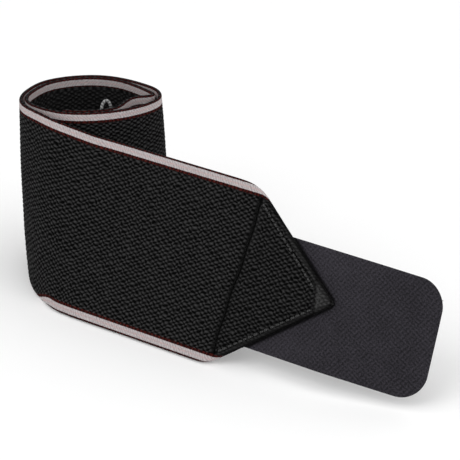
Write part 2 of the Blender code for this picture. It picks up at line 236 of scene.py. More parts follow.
def catmull(knots, samples=24):
    """A smooth curve through the knots."""
    ends = np.vstack((2 * knots[0] - knots[1], knots, 2 * knots[-1] - knots[-2]))
    t = np.arange(samples)[:, None] / samples
    parts = []
    for a, b, c, d in zip(ends, ends[1:], ends[2:], ends[3:]):
        parts.append(0.5 * (2 * b + (c - a) * t + (2 * a - 5 * b + 4 * c - d) * t * t
                            + (3 * b - a - 3 * c + d) * t ** 3))
    return np.vstack(parts + [knots[-1:]])


def edge_curves():
    """Distances `a` from the inner end to the arrow, and the web's lower and upper edge in plan at each."""
    turns = np.array(INNER_TURNS)
    foot = COIL_CENTRE + (turns - COIL_CENTRE) * LOWER_SPREAD
    second = foot[SECOND_TURN:]
    second[:, 0] += RIGHT_FLARE * smooth(RIGHT_FLARE_FROM, RIGHT_FLARE_TO, second[:, 0])
    lower = np.vstack((foot, FLARED_LOWER, tail_point(BEND_AT, 0.0)[:2]))
    upper = np.vstack((turns, FLARED_UPPER, tail_point(BEND_AT, WIDTH)[:2]))
    lower, upper = catmull(lower), catmull(upper)
    steps = [np.linalg.norm(np.diff(curve, axis=0), axis=1) for curve in (lower, upper)]
    run = np.concatenate(([0.0], np.cumsum((steps[0] + steps[1]) / 2)))     # the mean of the two edges
    a = BEND_AT - (run[-1] - run)
    straight = np.arange(BEND_AT + 1.0, ARROW_LENGTH + 20.0, 1.0)
    a = np.concatenate((a, straight))
    lower = np.vstack((lower, tail_point(straight, 0.0)[:, :2]))
    upper = np.vstack((upper, tail_point(straight, WIDTH)[:, :2]))
    even = np.arange(a[0], a[-1], 0.25)
    return even, soften(resample(even, a, lower)), soften(resample(even, a, upper))


def resample(even, a, curve):
    return np.column_stack([np.interp(even, a, curve[:, i]) for i in range(2)])


def soften(curve, spread=5):
    """Rounds small kinks off an evenly sampled curve and leaves its ends in place."""
    reach = 3 * spread
    weights = np.exp(-0.5 * (np.arange(-reach, reach + 1) / spread) ** 2)
    weights /= weights.sum()
    head = 2 * curve[0] - curve[reach:0:-1]
    foot = 2 * curve[-1] - curve[-2:-reach - 2:-1]
    padded = np.vstack((head, curve, foot))
    return np.column_stack([np.convolve(padded[:, i], weights, "valid") for i in range(2)])


EDGE_A, EDGE_LOWER, EDGE_UPPER = edge_curves()
INNER_END = EDGE_A[0]


def surface(a, v):
    """The middle surface: straight lines between the two edges, which are a web's width apart."""
    a, v = np.broadcast_arrays(np.asarray(a, float), np.asarray(v, float))
    low = np.stack([np.interp(a, EDGE_A, EDGE_LOWER[:, i]) for i in range(2)], -1)
    high = np.stack([np.interp(a, EDGE_A, EDGE_UPPER[:, i]) for i in range(2)], -1)
    reach = np.linalg.norm(high - low, axis=-1)
    share = v / WIDTH
    plan = low + (high - low) * share[..., None]
    height = np.sqrt(WIDTH ** 2 - reach ** 2) * share
    at_heel = smooth(0.0, HEEL_SPAN, HEEL_START - plan[..., 0])
    tuck = HEEL_TUCK * np.clip(1.0 - share, 0.0, 1.0) ** 3 * at_heel
    return np.stack((plan[..., 0] + tuck, plan[..., 1], height), -1)


def normal(a, v, step=0.4):
    """Out of the web's outer face."""
    ahead = surface(a + step, v) - surface(a - step, v)
    across = surface(a, v + step) - surface(a, v - step)
    return unit(np.cross(ahead, across))


# ---------------------------------------------------------------- meshes

def add_mesh(name, points, faces, material, uvs, values=None):
    """A smooth-shaded mesh. uvs has one pair for each face corner, and values holds named numbers for each
    point."""
    mesh = bpy.data.meshes.new(name)
    mesh.from_pydata(to_world(points).tolist(), [], faces)
    layer = mesh.uv_layers.new(name="cloth")
    layer.data.foreach_set("uv", (np.asarray(uvs, float) * UV_SCALE).astype(np.float32).ravel())
    for key, numbers in (values or {}).items():
        stored = mesh.attributes.new(key, "FLOAT", "POINT")
        stored.data.foreach_set("value", np.asarray(numbers, np.float32).ravel())
    mesh.shade_smooth()
    mesh.materials.append(material)
    obj = bpy.data.objects.new(name, mesh)
    bpy.context.scene.collection.objects.link(obj)
    return obj


def closed_sheet(name, front, back, front_uv, back_uv, material, values):
    """One closed mesh from the front and the back of a sheet, which meet along their first and last
    columns. Each is rows by columns of points, and successive rows lie further along the sheet. values
    holds, for each name, the numbers of the front and of the back."""
    rows, columns = front.shape[:2]
    inner = slice(columns - 2, 0, -1)
    ring = 2 * columns - 2

    def around(first, second):
        return np.concatenate((first, second[:, inner]), 1)

    points = around(front, back).reshape(-1, 3)
    start = np.arange(rows - 1)[:, None] * ring
    this = np.arange(ring)[None, :]
    after = (this + 1) % ring
    quads = np.stack((start + this, start + ring + this, start + ring + after, start + after), -1)
    on_front = np.broadcast_to(this < columns - 1, quads.shape[:2])
    uv_front, uv_back = around(front_uv, front_uv).reshape(-1, 2), around(back_uv, back_uv).reshape(-1, 2)
    corners = np.where(on_front[..., None, None], uv_front[quads], uv_back[quads]).reshape(-1, 2)
    faces = quads.reshape(-1, 4).tolist()
    under = np.concatenate(([0], np.arange(ring - 1, columns - 1, -1), [columns - 1]))
    for offset, turned in ((0, False), ((rows - 1) * ring, True)):
        for t in range(columns - 1):
            face = [offset + k for k in (t, t + 1, under[t + 1], under[t])]
            face = list(dict.fromkeys(face))
            faces.append([int(k) for k in (face[::-1] if turned else face)])
    flat = [uv_front[k] for face in faces[quads.shape[0] * quads.shape[1]:] for k in face]
    corners = np.vstack((corners, flat))
    stored = {key: around(*pair).reshape(-1) for key, pair in values.items()}
    return add_mesh(name, points, faces, material, corners, stored)


# ---------------------------------------------------------------- materials

class Graph:
    """A material's nodes, built from short expressions. Every value is a number or a socket."""

    def __init__(self, name):
        self.material = bpy.data.materials.new(name)
        self.material.use_nodes = True
        self.tree = self.material.node_tree
        self.shader = self.tree.nodes["Principled BSDF"]

    def feed(self, socket, value):
        if isinstance(value, bpy.types.NodeSocket):
            self.tree.links.new(value, socket)
        else:
            socket.default_value = value

    def math(self, operation, *values):
        node = self.tree.nodes.new("ShaderNodeMath")
        node.operation = operation
        for socket, value in zip(node.inputs, values):
            self.feed(socket, value)
        return node.outputs[0]

    def add(self, *values):
        total = values[0]
        for value in values[1:]:
            total = self.math("ADD", total, value)
        return total

    def times(self, *values):
        total = values[0]
        for value in values[1:]:
            total = self.math("MULTIPLY", total, value)
        return total

    def less(self, a, b):
        return self.math("SUBTRACT", a, b)

    def wave(self, turns):
        """From -1 to 1, at its highest at each whole number of turns."""
        return self.math("COSINE", self.times(turns, 2.0 * math.pi))

    def ramp(self, value, low, high, first=0.0, last=1.0):
        node = self.tree.nodes.new("ShaderNodeMapRange")
        node.interpolation_type = "SMOOTHSTEP"
        for key, number in (("Value", value), ("From Min", low), ("From Max", high),
                            ("To Min", first), ("To Max", last)):
            self.feed(node.inputs[key], number)
        return node.outputs["Result"]

    def between(self, value, low, high, blur):
        rise = self.ramp(value, low - blur, low + blur)
        fall = self.ramp(value, high - blur, high + blur, 1.0, 0.0)
        return self.times(rise, fall)

    def mix(self, factor, first, second):
        node = self.tree.nodes.new("ShaderNodeMix")
        node.data_type = "RGBA"
        for socket, value in ((node.inputs[0], factor), (node.inputs[6], first), (node.inputs[7], second)):
            self.feed(socket, value)
        return node.outputs[2]

    def place(self):
        """The two distances in mm that the cloth's own UV map holds."""
        uv = self.tree.nodes.new("ShaderNodeUVMap")
        uv.uv_map = "cloth"
        parts = self.tree.nodes.new("ShaderNodeSeparateXYZ")
        self.feed(parts.inputs[0], uv.outputs["UV"])
        return [self.times(parts.outputs[key], 1.0 / UV_SCALE) for key in ("X", "Y")]

    def vector(self, x, y):
        node = self.tree.nodes.new("ShaderNodeCombineXYZ")
        for socket, value in zip(node.inputs, (x, y)):
            self.feed(socket, value)
        return node.outputs[0]

    def noise(self, vector, scale, detail):
        node = self.tree.nodes.new("ShaderNodeTexNoise")
        node.inputs["Scale"].default_value = scale
        node.inputs["Detail"].default_value = detail
        self.feed(node.inputs["Vector"], vector)
        return node.outputs["Fac"]

    def chance(self, i, j):
        """The same random number as scatter(i, j)."""
        value = self.math("SINE", self.add(self.times(i, SCATTER_I), self.times(j, SCATTER_J)))
        return self.math("FRACT", self.times(value, SCATTER_SIZE))

    def stored(self, name):
        node = self.tree.nodes.new("ShaderNodeAttribute")
        node.attribute_name = name
        return node.outputs["Fac"]

    def bump(self, height, strength, distance):
        node = self.tree.nodes.new("ShaderNodeBump")
        node.inputs["Strength"].default_value = strength
        node.inputs["Distance"].default_value = distance * MM
        self.feed(node.inputs["Height"], height)
        self.feed(self.shader.inputs["Normal"], node.outputs[0])

    def finish(self, colour, roughness, specular=0.5):
        self.feed(self.shader.inputs["Base Color"], colour)
        self.feed(self.shader.inputs["Roughness"], roughness)
        self.shader.inputs["Specular IOR Level"].default_value = specular
        return self.material


def grey(level):
    return (level, level, level, 1.0)


BLACK_DARK, BLACK_LIGHT = (0.0065, 0.00637, 0.0065, 1.0), (0.045, 0.04455, 0.045, 1.0)
# The first two colours here are painted shade: the first in the weave's holes, the second in the base
# crease, along the stitch lines, at the arrow's rims and over the inner face.
HOLE_PAINTED_SHADE, PAINTED_SHADE_COLOUR, WORN_COLOUR = grey(0.0002), grey(0.0008), grey(0.046)
SILVER_DARK, SILVER_LIGHT = (0.28, 0.25, 0.255, 1.0), (0.49, 0.45, 0.45, 1.0)
SILVER_PINK = (0.46, 0.28, 0.27, 1.0)
RED_DARK, RED_LIGHT = (0.006, 0.0015, 0.0015, 1.0), (0.085, 0.012, 0.009, 1.0)
TAPE_DARK, TAPE_LIGHT = (0.0085, 0.0078, 0.0098, 1.0), (0.038, 0.0348, 0.0432, 1.0)
TAPE_SHADE = grey(0.0012)


def weave_nodes(g, a, v):
    """The same holes and strands as in weave(): how deep the hole and how high the strand is."""
    first = g.add(g.times(a, 1.0 / CELL_ALONG), g.times(v, 1.0 / CELL_ACROSS))
    second = g.less(g.times(a, 1.0 / CELL_ALONG), g.times(v, 1.0 / CELL_ACROSS))
    i, j = g.math("ROUND", first), g.math("ROUND", second)
    slant = g.times(g.wave(g.times(g.less(i, j), 0.5)), HOLE_SLANT)
    x = g.math("DIVIDE", g.less(first, i), g.add(slant, HOLE_SIZE))
    y = g.math("DIVIDE", g.less(second, j), g.less(HOLE_SIZE, slant))
    far = g.add(g.times(x, x), g.times(y, y))
    size = g.add(g.times(g.chance(i, j), 1.1), 1.05)
    hole = g.times(g.math("EXPONENT", g.times(far, -1.0)), size)
    strand = g.times(g.less(1.0, g.wave(first)), g.less(1.0, g.wave(second)), 0.25)
    return hole, strand


def silver_yarn(g, edge, ribs, grain, fibres):
    """Silver-grey, ribbed and grainy, with a faint pink line along its middle."""
    tone = g.add(g.times(ribs, 0.26), g.times(fibres, 1.0), g.times(grain, 1.6), -0.72)
    pink = g.times(g.between(edge, 2.0, 2.5, 0.3), g.ramp(grain, 0.4, 0.6, 0.2, 0.7))
    return g.mix(pink, g.mix(tone, SILVER_DARK, SILVER_LIGHT), SILVER_PINK)


def red_yarn(g, a, fibres):
    """Dark red, in short dashes."""
    dashes = g.ramp(g.wave(g.times(a, 1.0 / 1.9)), -1.0, 0.8, 0.15, 1.0)
    return g.mix(g.times(dashes, g.ramp(fibres, 0.3, 0.7)), RED_DARK, RED_LIGHT)


def web_material():
    """Black crepe weave with small holes in painted shade and painted highlights on its strands; along each
    edge a silver stripe between two red yarns.
    """
    g = Graph("web_cloth")
    a, v = g.place()
    plain = g.stored("plain")
    hole, strand = weave_nodes(g, a, v)
    hole = g.math("MINIMUM", g.times(hole, g.less(1.0, plain)), 1.0)
    fibres = g.noise(g.vector(g.times(a, 0.6), v), 2.2, 3.0)
    patches = g.noise(g.vector(a, v), 0.16, 2.0)
    grain = g.noise(g.vector(a, v), 1.1, 2.0)
    # the strands' share of the tone is a painted highlight on their raised crossings
    tone = g.add(g.times(strand, 0.8), g.times(fibres, 1.1), g.times(patches, 0.3), g.times(plain, 0.1))
    worn = g.times(g.stored("worn"), g.ramp(fibres, 0.35, 0.65, 0.0, 0.9))
    black = g.mix(worn, g.mix(g.add(tone, -0.62), BLACK_DARK, BLACK_LIGHT), WORN_COLOUR)
    # painted shade in the weave's holes
    black = g.mix(hole, black, HOLE_PAINTED_SHADE)
    # painted shade in the crease, along the seams, at the arrow's rims and over the inner face
    black = g.mix(g.stored("painted_shade"), black, PAINTED_SHADE_COLOUR)
    edge = g.math("MINIMUM", v, g.less(WIDTH, v))
    ribs = g.wave(g.times(g.add(a, g.times(v, RIB_SLANT)), 1.0 / RIB_PITCH))
    wander = g.add(edge, g.times(g.less(fibres, 0.5), 0.5))
    narrow = g.times(g.stored("inner"), g.ramp(edge, 2.0, 3.0), 0.6)
    is_silver = g.between(wander, OUTER_RED_END, SILVER_END, 0.12)
    is_red = g.between(g.add(wander, narrow), RIM_END, SELVEDGE_END, 0.1)
    dark = g.mix(is_red, black, red_yarn(g, a, fibres))
    colour = g.mix(is_silver, dark, silver_yarn(g, edge, ribs, grain, fibres))
    selvedge = g.ramp(edge, SELVEDGE_END - 0.2, SELVEDGE_END + 0.4, 1.0, 0.0)
    height = g.add(g.times(hole, -1.0, g.less(1.0, selvedge)), g.times(fibres, 0.35), g.times(strand, 0.3),
                   g.times(ribs, selvedge, 0.12))
    g.bump(height, 0.7, 0.18)
    return g.finish(colour, g.ramp(fibres, 0.2, 0.8, 0.72, 0.9), specular=0.04)


def tape_material():
    """Charcoal tape: fine twill lines both ways over a woven ground, paler towards its sewn end."""
    g = Graph("tape_backing_cloth")
    a, v = g.place()
    one, other = (g.wave(g.add(g.times(a, along), g.times(v, across))) for along, across in TWILL)
    share = g.noise(g.vector(a, v), 0.35, 1.0)
    twill = g.add(g.times(one, g.ramp(share, 0.35, 0.65, 0.25, 1.0)),
                  g.times(other, g.ramp(share, 0.35, 0.65, 0.9, 0.2)))
    fibres = g.noise(g.vector(a, g.times(v, 2.0)), 1.8, 3.0)
    patches = g.noise(g.vector(a, v), 0.1, 2.0)
    grain = g.noise(g.vector(a, v), 1.5, 2.0)
    faded = g.ramp(g.less(a, g.times(v, 0.5)), 20.0, 60.0, 0.25, 0.0)
    tone = g.add(g.times(twill, 0.2), g.times(fibres, 1.5), g.times(grain, 2.2), g.times(patches, 0.5))
    colour = g.mix(g.add(tone, faded, -1.74), TAPE_DARK, TAPE_LIGHT)
    # painted shadow of the arrow's edges on the tape
    colour = g.mix(g.stored("painted_shade"), colour, TAPE_SHADE)
    g.bump(g.add(g.times(twill, 0.4), g.times(fibres, 0.5)), 0.6, 0.14)
    return g.finish(colour, g.ramp(fibres, 0.2, 0.8, 0.6, 0.78), specular=0.1)


def yarn_material(name, dark, light, pitch, roughness):
    """Twisted yarn: plies wind round the thread. Its UV map holds the distance along it and the share of a
    turn round it, and a stored number darkens the yarn as painted shade."""
    g = Graph(name)
    along, around = g.place()
    plies = g.wave(g.add(g.times(along, 1.0 / pitch), around))
    fibres = g.noise(g.vector(along, around), 3.0, 2.0)
    # painted shade from the stored number darkens the yarn
    tone = g.add(g.times(plies, 0.3), 0.3, g.times(fibres, 0.4), g.times(g.stored("leg_painted_shade"), -0.9))
    g.bump(g.add(plies, fibres), 0.5, 0.08)
    return g.finish(g.mix(tone, dark, light), roughness, specular=0.15)


def hook_material():
    """Moulded nylon: dark, slightly glossy, a little lighter in patches."""
    g = Graph("hook_nylon")
    a, v = g.place()
    patches = g.noise(g.vector(a, v), 0.5, 3.0)
    return g.finish(g.mix(patches, grey(0.010), grey(0.035)), g.ramp(patches, 0.2, 0.8, 0.35, 0.55))


def floor_material():
    g = Graph("pale_floor")
    coordinates = g.tree.nodes.new("ShaderNodeTexCoord")
    cloud = g.noise(coordinates.outputs["Object"], 3.0, 2.0)
    return g.finish(g.mix(cloud, grey(0.955), grey(0.975)), 0.9, specular=0.1)


# ---------------------------------------------------------------- the web

LOWER_FOLD = math.atan2(ARROW_TIP, ARROW_LENGTH)
UPPER_FOLD = math.atan2(WIDTH - ARROW_TIP, ARROW_LENGTH)
TIP_HALF_ANGLE = math.atan((math.tan(LOWER_FOLD) + math.tan(UPPER_FOLD)) / 2.0)
TIP_CENTRE = ARROW_LENGTH - TIP_RADIUS / math.sin(TIP_HALF_ANGLE)


def weave(a, v):
    """The weave's relief: a hole at each point of a centred lattice, and raised strands between them."""
    first, second = a / CELL_ALONG + v / CELL_ACROSS, a / CELL_ALONG - v / CELL_ACROSS
    i, j = np.round(first), np.round(second)
    slant = HOLE_SLANT * np.cos(np.pi * (i - j))
    x, y = (first - i) / (HOLE_SIZE + slant), (second - j) / (HOLE_SIZE - slant)
    strand = (1 - np.cos(2 * np.pi * first)) * (1 - np.cos(2 * np.pi * second)) / 4
    return 0.12 * strand - HOLE_DEPTH * (0.6 + 0.5 * scatter(i, j)) * np.exp(-x * x - y * y)


def woven_share(edge):
    """0 on the selvedge and 1 on the weave, by distance from the web's edge."""
    return smooth(SELVEDGE_END, SELVEDGE_END + 0.7, edge)


def ribs(a, v):
    """The selvedge's fine slanting ribs."""
    return 0.05 * np.cos(2 * np.pi * (a + RIB_SLANT * v) / RIB_PITCH)


def arrow_edges(a):
    """The web's lower and upper edge at each a: straight up to the arrow, then the two diagonals with
    their corners rounded, which end in a round tip."""
    a = np.asarray(a, float)
    past = LOWER_SOFTNESS * np.logaddexp(0.0, a / LOWER_SOFTNESS)
    past_upper = UPPER_SOFTNESS * np.logaddexp(0.0, a / UPPER_SOFTNESS)
    low, high = past * math.tan(LOWER_FOLD), WIDTH - past_upper * math.tan(UPPER_FOLD)
    middle, half = (low + high) / 2.0, (high - low) / 2.0
    ahead = np.clip(past - TIP_CENTRE, -TIP_RADIUS, TIP_RADIUS)
    tip = np.sqrt(TIP_RADIUS ** 2 - ahead ** 2)
    half = np.where(past > TIP_CENTRE + TIP_RADIUS * math.sin(TIP_HALF_ANGLE), np.minimum(half, tip), half)
    return middle - half, middle + half


def web_columns(rows, flat_columns):
    """For each row `a`: places v across the web, the same measured along the cloth round its rims, the
    share of the thickness at each, the rims' radius, and how much the row belongs to the arrow."""
    arrow = smooth(-1.0, 2.5, rows)
    radius = HALF_THICK + (LIP_RADIUS - HALF_THICK) * arrow
    low, high = arrow_edges(rows)
    turns = np.radians((0.0, 12.0, 27.0, 45.0, 66.0, 90.0))
    slant = [1.0 + (1.0 / math.cos(fold) - 1.0) * arrow for fold in (LOWER_FOLD, UPPER_FOLD)]
    room = (high - low) / 2.0 * 0.96
    ends, arcs = [], []
    for lean in slant:
        reach = np.minimum(radius * lean, room)[:, None]
        ends.append(reach * (1.0 - np.cos(turns)))
        arcs.append(reach * (1.0 - math.pi / 2.0 + turns))
    share = np.linspace(0.0, 1.0, flat_columns)[1:-1]
    start, stop = low + ends[0][:, -1], high - ends[1][:, -1]
    middle = start[:, None] + (stop - start)[:, None] * share
    v = np.hstack((low[:, None] + ends[0], middle, (high[:, None] - ends[1])[:, ::-1]))
    cloth = np.hstack((low[:, None] + arcs[0], middle, (high[:, None] - arcs[1])[:, ::-1]))
    rise = np.concatenate((np.sin(turns), np.ones(len(share)), np.sin(turns)[::-1]))
    return v, cloth, np.broadcast_to(rise, v.shape), radius, arrow


def fold_back(a, v):
    """Where the cloth that lies under a place of the arrow was before its corner was folded."""
    lower = v < ARROW_TIP
    turn = np.where(lower, 2 * LOWER_FOLD, -2 * UPPER_FOLD)
    foot = np.where(lower, 0.0, WIDTH)
    y = v - foot
    return a * np.cos(turn) + y * np.sin(turn), foot + a * np.sin(turn) - y * np.cos(turn)


def crease_at(v):
    """Where the crease across the arrow's base runs: it wanders a little."""
    return 2.2 + 1.4 * smooth(24.0, 52.0, v) + 0.25 * np.sin(v * 0.35)


def arrow_gaps(a, v):
    """Distances from the lower diagonal and from the nearer one, and whether the lower one is nearer."""
    low, high = arrow_edges(a)
    low_gap, high_gap = (v - low) * math.cos(LOWER_FOLD), (high - v) * math.cos(UPPER_FOLD)
    return low_gap, np.minimum(low_gap, high_gap), low_gap < high_gap


def arrow_marks(a, v):
    """How plain the cloth is, how far its face is raised, how much painted shade it gets, and how worn it
    is, on and near the arrow."""
    low_gap, gap, lower = arrow_gaps(a, v)
    on = smooth(0.5, 4.0, a)
    rolled = on * np.where(lower, 1.0, smooth(8.0, 30.0, a))
    past_row = a + TIP_ROW_LEAN * (v - ARROW_TIP) - TIP_ROW_AT
    tip = smooth(-1.6, 1.2, past_row + 0.5 * ripple(a, v, 1.6, 21))
    panel = on * (1.0 - tip)
    crease = a - crease_at(v)
    # a band just past the base crease on its upper half: smoother cloth, and, through plain's lighter tone
    # and missing dark holes, a painted highlight on the raised edge of the arrow
    plain_band_and_highlight = bell(crease - 0.9, 1.3) * smooth(30.0, 60.0, v)
    lip = rolled * smooth(2.4, 1.4, gap)
    plain = np.clip(lip + tip + 0.8 * bell(crease, 0.9) + 0.7 * plain_band_and_highlight, 0.0, 1.0)
    pull = wavy(a / np.where(lower, math.cos(LOWER_FOLD), math.cos(UPPER_FOLD)), SEAM_RHYTHM, 0.35)
    from_seam = gap - np.where(lower, LOWER_INSET, UPPER_INSET)
    # painted shade under the lower rim, along the stitching and its puckers, in the base crease, along the
    # tip row and at the rims' outer edge; the arrow's panel is also a little darker all over
    painted_shade = panel * (0.12 + 0.3 * bell(low_gap - 1.8, 1.2) + 0.5 * bell(from_seam, 0.6) * pull)
    painted_shade = painted_shade + 0.99 * bell(crease, 1.05) + 0.6 * bell(past_row, 0.5) * (gap > 0.5)
    painted_shade = painted_shade + 0.8 * on * bell(np.clip(gap, 0.0, None), 0.6)
    streaks = 0.8 + 0.3 * np.cos(2 * np.pi * (a + TIP_ROW_LEAN * v) / 2.1)
    worn = tip * smooth(0.8, 2.4, gap) * bell(past_row - 1.7, 2.2) * streaks
    diagonal = 0.2 * rolled * bell(gap - 1.3, 0.6) - 0.4 * on * pull * bell(from_seam, 0.45)
    groove = -0.85 * bell(crease, 1.0) * wavy(v, FINE_STITCH[0], 0.15)
    height = (1.0 - tip) * diagonal + groove - 0.3 * bell(past_row, 0.4)
    return plain, height, np.clip(painted_shade, 0.0, 1.0), worn


def web_rows(first, last):
    """Evenly spaced rows, and closer ones round the arrow's tip if the piece ends there."""
    straight = min(last, TIP_CENTRE)
    rows = np.linspace(first, straight, int(round((straight - first) / ROW_STEP)) + 1)
    if last > TIP_CENTRE:
        rows = np.append(rows, TIP_CENTRE + TIP_RADIUS * np.sin(np.radians(np.arange(8.0, 87.1, 7.0))))
    return rows


def warp(a, v):
    """How far the weave wanders along and across the web."""
    along = 0.30 * ripple(a, v, 6.0, 3) + 0.34 * ripple(a, v, 1.5, 13)
    across = 0.17 * ripple(a, v, 7.0, 4) + 0.20 * ripple(a, v, 1.3, 14)
    return along, across


def web_piece(name, first, last, material):
    """The web from one distance to another, as one closed mesh with its relief."""
    rows = web_rows(first, last)
    v, cloth, rise, radius, arrow = web_columns(rows, int(WIDTH / COLUMN_STEP))
    a = np.broadcast_to(rows[:, None], v.shape)
    centre, out = surface(a, v), normal(a, v)
    warp_a, warp_v = warp(a, v)
    curl = CURL * smooth(*CURL_START, a) * smooth(*CURL_END, a)
    drawn = cloth + curl * np.clip(1.0 - cloth / CURL_REACH, 0.0, 1.0)
    edge = np.minimum(drawn, WIDTH - drawn)
    woven = woven_share(edge)
    plain, marks, painted_shade, worn = arrow_marks(a, v)
    swell = 0.10 * ripple(a, v, 14.0, 5) * woven
    relief = woven * weave(a + warp_a, drawn + warp_v) * (1.0 - plain)
    relief = relief + (1.0 - woven) * ribs(a, v) * smooth(0.0, 1.0, edge)
    level, reach = LIP_CENTRE * arrow[:, None], radius[:, None] * rise
    front = centre + out * (level + reach + (relief + marks) * rise ** 2 + swell)[..., None]
    under_a, under_v = fold_back(a, v)
    under_edge = np.minimum(under_v, WIDTH - under_v)
    flap = smooth(-0.3, 0.5, under_edge) * arrow[:, None]
    folded = flap > 0.5
    shift = 0.5 * CELL_ACROSS
    back_relief = np.where(folded, woven_share(under_edge) * weave(under_a, under_v),
                           woven * weave(a + warp_a, cloth + warp_v + shift))
    single, double = -HALF_THICK * rise, level - reach
    depth = single + (double - single) * flap - back_relief * rise ** 2 + swell
    back = centre + out * depth[..., None]
    front_uv = np.stack((a + warp_a, drawn + warp_v * woven), -1)
    back_uv = np.stack((a + warp_a, cloth + (warp_v + shift) * woven), -1)
    back_uv = np.where(folded[..., None], np.stack((under_a, under_v), -1), back_uv)
    none = np.zeros_like(a)
    # the inner face gets a quarter of the painted shade all over
    values = {"plain": (plain, 0.65 + 0.35 * plain), "painted_shade": (painted_shade, none + 0.25),
              "worn": (worn, none), "inner": (none, none + 1.0)}
    return closed_sheet(name, front, back, front_uv, back_uv, material, values)


def web(material):
    """The whole web in four meshes: the tail with the arrow, and three pieces of the coil that follow the
    coil's body.
    """
    tail = web_piece("web_tail_and_arrow", CUTS[0], ARROW_LENGTH, material)
    to_world(tail_point(TAIL_BEND[0], 0.0))
    to_world(tail_point(TAIL_BEND[1], 0.0))
    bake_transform(tail)
    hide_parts("tail_web", "tail_lower_stripe", "tail_upper_stripe", "arrow_face",
                "lower_folded_corner", "upper_folded_corner")
    turns = [
        web_piece("web_outer_turn", CUTS[1], CUTS[0], material),
        web_piece("web_second_turn", CUTS[2], CUTS[1], material),
        web_piece("web_inner_end", INNER_END, CUTS[2], material),
    ]
    for piece in turns:
        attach(piece, "coil")
    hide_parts("coil_web", "coil_lower_stripe", "coil_upper_stripe")


# ---------------------------------------------------------------- the hook tape

def tape_surface(u, w):
    """The tape's middle surface: u along from its sewn end, w across from its centre line. The free part
    droops and twists a little."""
    u, w = np.broadcast_arrays(np.asarray(u, float), np.asarray(w, float))
    bend = TAPE_BEND - TAPE_START
    grid = np.arange(-20.0, 140.0, 0.25)
    droop = TAB_DROOP * smooth(bend - 2.0, bend + 2.0, grid)
    ahead = np.concatenate(([0.0], np.cumsum(np.cos(droop[:-1]) * 0.25)))
    down = np.concatenate(([0.0], np.cumsum(np.sin(droop[:-1]) * 0.25)))
    along = TAPE_START + np.interp(u, grid, ahead) - np.interp(0.0, grid, ahead)
    out = TAPE_LEVEL - np.interp(u, grid, down)
    upright = BACK * math.sin(TAB_LEAN) + UP * math.cos(TAB_LEAN)
    share = np.clip((u - bend) / TAB_LENGTH, 0.0, None)[..., None]
    across = unit(ACROSS * (1.0 - share) + upright * share)
    return tail_point(along, TAPE_LOW + TAPE_WIDTH / 2, out) + across * w[..., None]


def tape_normal(u, w, step=0.4):
    ahead = tape_surface(u + step, w) - tape_surface(u - step, w)
    across = tape_surface(u, w + step) - tape_surface(u, w - step)
    return unit(np.cross(ahead, across))


def tape_reach(u):
    """Half the tape's width at u: it narrows round the two corners of its free end."""
    past = np.clip((u - (TAPE_LENGTH - TAB_CORNER)) / TAB_CORNER, 0.0, 1.0)
    return TAPE_WIDTH / 2 - TAB_CORNER * (1.0 - np.sqrt(1.0 - past ** 2))


def bend_with_tab(piece):
    to_world(tail_point(TAB_BEND[0], 0.0))
    to_world(tail_point(TAB_BEND[1], 0.0))
    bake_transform(piece)


def tape_rows():
    """Places of the rows along the tape, closer together at its ends and round its corners."""
    body = np.arange(0.0, TAPE_LENGTH - TAB_CORNER, 0.45)
    round_end = TAPE_LENGTH - TAB_CORNER * (1.0 - np.sin(np.radians(np.linspace(0.0, 90.0, 34))))
    return np.unique(np.concatenate(([0.0, 0.06, 0.22], body[1:], round_end[:-1], [TAPE_LENGTH - 0.02])))


def arrow_shade(a, v):
    """How dark the painted shadow is on the tape close beside the arrow."""
    low, high = arrow_edges(a)
    beyond = np.maximum((low - v) * math.cos(LOWER_FOLD), (v - high) * math.cos(UPPER_FOLD))
    ahead = a - TIP_CENTRE - TIP_RADIUS
    beyond = np.where(ahead > 0.0, np.maximum(beyond, ahead), beyond)
    return 0.85 * bell(np.clip(beyond, 0.0, None), 0.45)


def blunt_end(gap, half, least):
    """The share of its thickness that a sheet has at this distance from a rounded end."""
    return np.sqrt(1.0 - (1.0 - np.clip(gap / half, 0.0, 1.0)) ** 2) * (1.0 - least) + least


def tape(material):
    """The whole tape as one closed sheet, sewn part and free tab."""
    rows = tape_rows()
    reach = tape_reach(rows)[:, None]
    turns = np.radians((0.0, 20.0, 42.0, 66.0, 90.0))
    rim = TAPE_HALF * (1.0 - np.cos(turns))
    inside = np.linspace(-1.0, 1.0, 112)[1:-1]
    w = np.hstack((rim - reach, inside * (reach - TAPE_HALF), (reach - rim)[:, ::-1]))
    u = np.broadcast_to(rows[:, None], w.shape)
    rise = np.concatenate((np.sin(turns), np.ones(len(inside)), np.sin(turns)[::-1]))
    ends = np.minimum(rows, TAPE_LENGTH - rows)[:, None]
    half = TAPE_HALF * rise * blunt_end(ends, TAPE_HALF, 0.08)
    edge = np.minimum(reach - np.abs(w), ends)
    twill = sum(0.03 * np.cos(2 * np.pi * (along * u + across * w)) for along, across in TWILL)
    relief = twill * smooth(0.2, 1.2, edge)
    buckle = 0.16 * ripple(u, w, 16.0, 11) * smooth(40.0, 60.0, u)
    stitched = -0.12 * bell(u - 1.6, 0.5)
    centre, out = tape_surface(u, w), tape_normal(u, w)
    front = centre + out * (half + relief + buckle)[..., None]
    back = centre + out * (buckle - half + 0.3 * relief - stitched)[..., None]
    # painted shadow beside the arrow
    shade = arrow_shade(u + TAPE_START, w + TAPE_LOW + TAPE_WIDTH / 2)
    uv = np.stack((u, w), -1)
    piece = closed_sheet("hook_tape", front, back, uv, uv, material, {"painted_shade": (shade, 0.0 * shade)})
    bend_with_tab(piece)
    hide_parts("sewn_tape_backing", "tab_backing")


